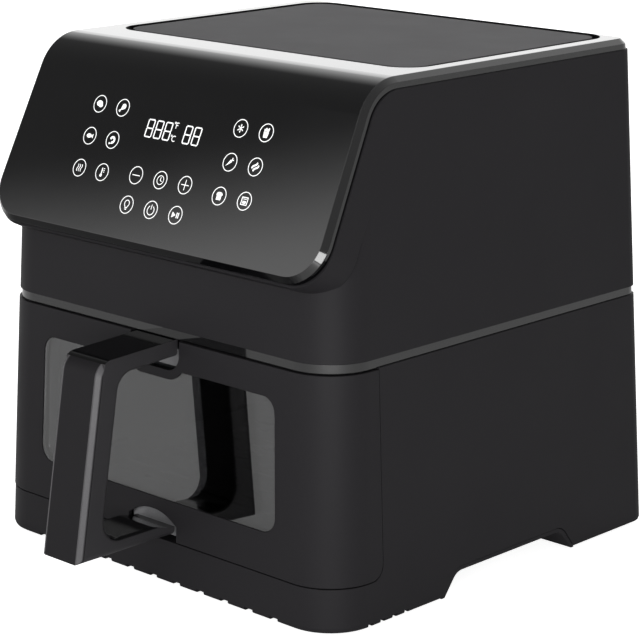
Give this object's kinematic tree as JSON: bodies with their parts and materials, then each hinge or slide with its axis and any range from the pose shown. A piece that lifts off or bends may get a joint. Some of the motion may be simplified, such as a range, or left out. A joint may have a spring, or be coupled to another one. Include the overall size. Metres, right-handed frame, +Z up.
{
  "type": "air fryer",
  "caption": "Drawer air fryer: drafted black housing, slanted touch panel, windowed pull-out drawer with loop handle, lift-out crisper plate, spiral heater and fan.",
  "frame": {"origin": "under the middle of the whole part's box, on the surface its feet stand on", "axes": "+X to the user's right, -Y to the front where the drawer pulls out, +Z up"},
  "size_m": [0.3038, 0.3719, 0.318],
  "materials": {
    "matte_black_plastic": "fine matte moulded polypropylene",
    "gloss_black_plastic": "gloss black moulding",
    "inlay_grey": "soft matte grey film on plastic",
    "handle_gloss": "gloss black moulding",
    "handle_grip_plastic": "matte grip plastic",
    "accent_grey": "satin grey accent",
    "grey_bracket": "plain pressed metal",
    "foot_rubber": "soft rubber",
    "silicone_black": "silicone",
    "window_glass": "tempered glass, polished",
    "nonstick_coating": "dark non-stick coating on pressed steel",
    "steel_sheet": "plain steel sheet",
    "aluminised_sheet": "aluminised cavity sheet",
    "heater_sheath": "dull oxidised heater sheath",
    "zinc_screw": "zinc plated",
    "green_board": "solder-masked board",
    "dark_plastic": "dark moulded plastic",
    "lamp_glass": "frosted lens"
  },
  "bodies": {
    "housing": {"base_plate": "matte_black_plastic", "rubber_feet": "foot_rubber", "base_screws": "zinc_screw", "lower_housing": "matte_black_plastic", "trim_band": "gloss_black_plastic", "upper_housing": "matte_black_plastic", "control_fascia": "gloss_black_plastic", "top_inlay": "inlay_grey", "display_module": "dark_plastic", "control_board": "green_board", "touch_springs": "zinc_screw", "cavity_liner": "aluminised_sheet", "drawer_rails": "steel_sheet", "heating_element": "heater_sheath", "heater_terminals": "steel_sheet", "heater_straps": "steel_sheet", "heater_guard": "steel_sheet", "motor_body": "steel_sheet", "motor_bracket": "steel_sheet", "air_duct": "dark_plastic", "rear_grille": "matte_black_plastic", "power_board": "green_board", "temperature_sensor": "steel_sheet", "thermal_fuse": "zinc_screw", "lamp_holder": "dark_plastic", "lamp_lens": "lamp_glass", "cord_gland": "dark_plastic", "drawer_switch": "dark_plastic"},
    "rotor": {"convection_fan": "aluminised_sheet", "motor_shaft": "steel_sheet", "cooling_fan": "dark_plastic", "fan_nut": "zinc_screw"},
    "plunger": {"switch_plunger": "dark_plastic"},
    "drawer": {"drawer_front": "matte_black_plastic", "window_glass": "window_glass", "window_gasket": "silicone_black", "tub_seal": "silicone_black", "drawer_tub": "nonstick_coating", "handle_core": "handle_gloss", "handle_grip": "handle_grip_plastic", "handle_accents": "accent_grey", "handle_brackets": "grey_bracket", "handle_screws": "zinc_screw"},
    "crisper": {"crisper_plate": "nonstick_coating", "crisper_bumpers": "silicone_black"}
  },
  "joints": [
    {"name": "drawer_slide", "type": "slide", "parent": "housing", "child": "drawer", "axis": [0, -1, 0], "range_m": [0, 0.25]},
    {"name": "crisper_lift", "type": "slide", "parent": "drawer", "child": "crisper", "axis": [0, 0, 1], "range_m": [0, 0.09]},
    {"name": "fan_spin", "type": "hinge", "parent": "housing", "child": "rotor", "pos_m": [0, 0.03625, 0.2], "axis": [0, 0, 1], "continuous": true},
    {"name": "switch_press", "type": "slide", "parent": "housing", "child": "plunger", "axis": [0, 1, 0], "range_m": [0, 0.0012], "stiffness_N_per_m": 150}
  ]
}
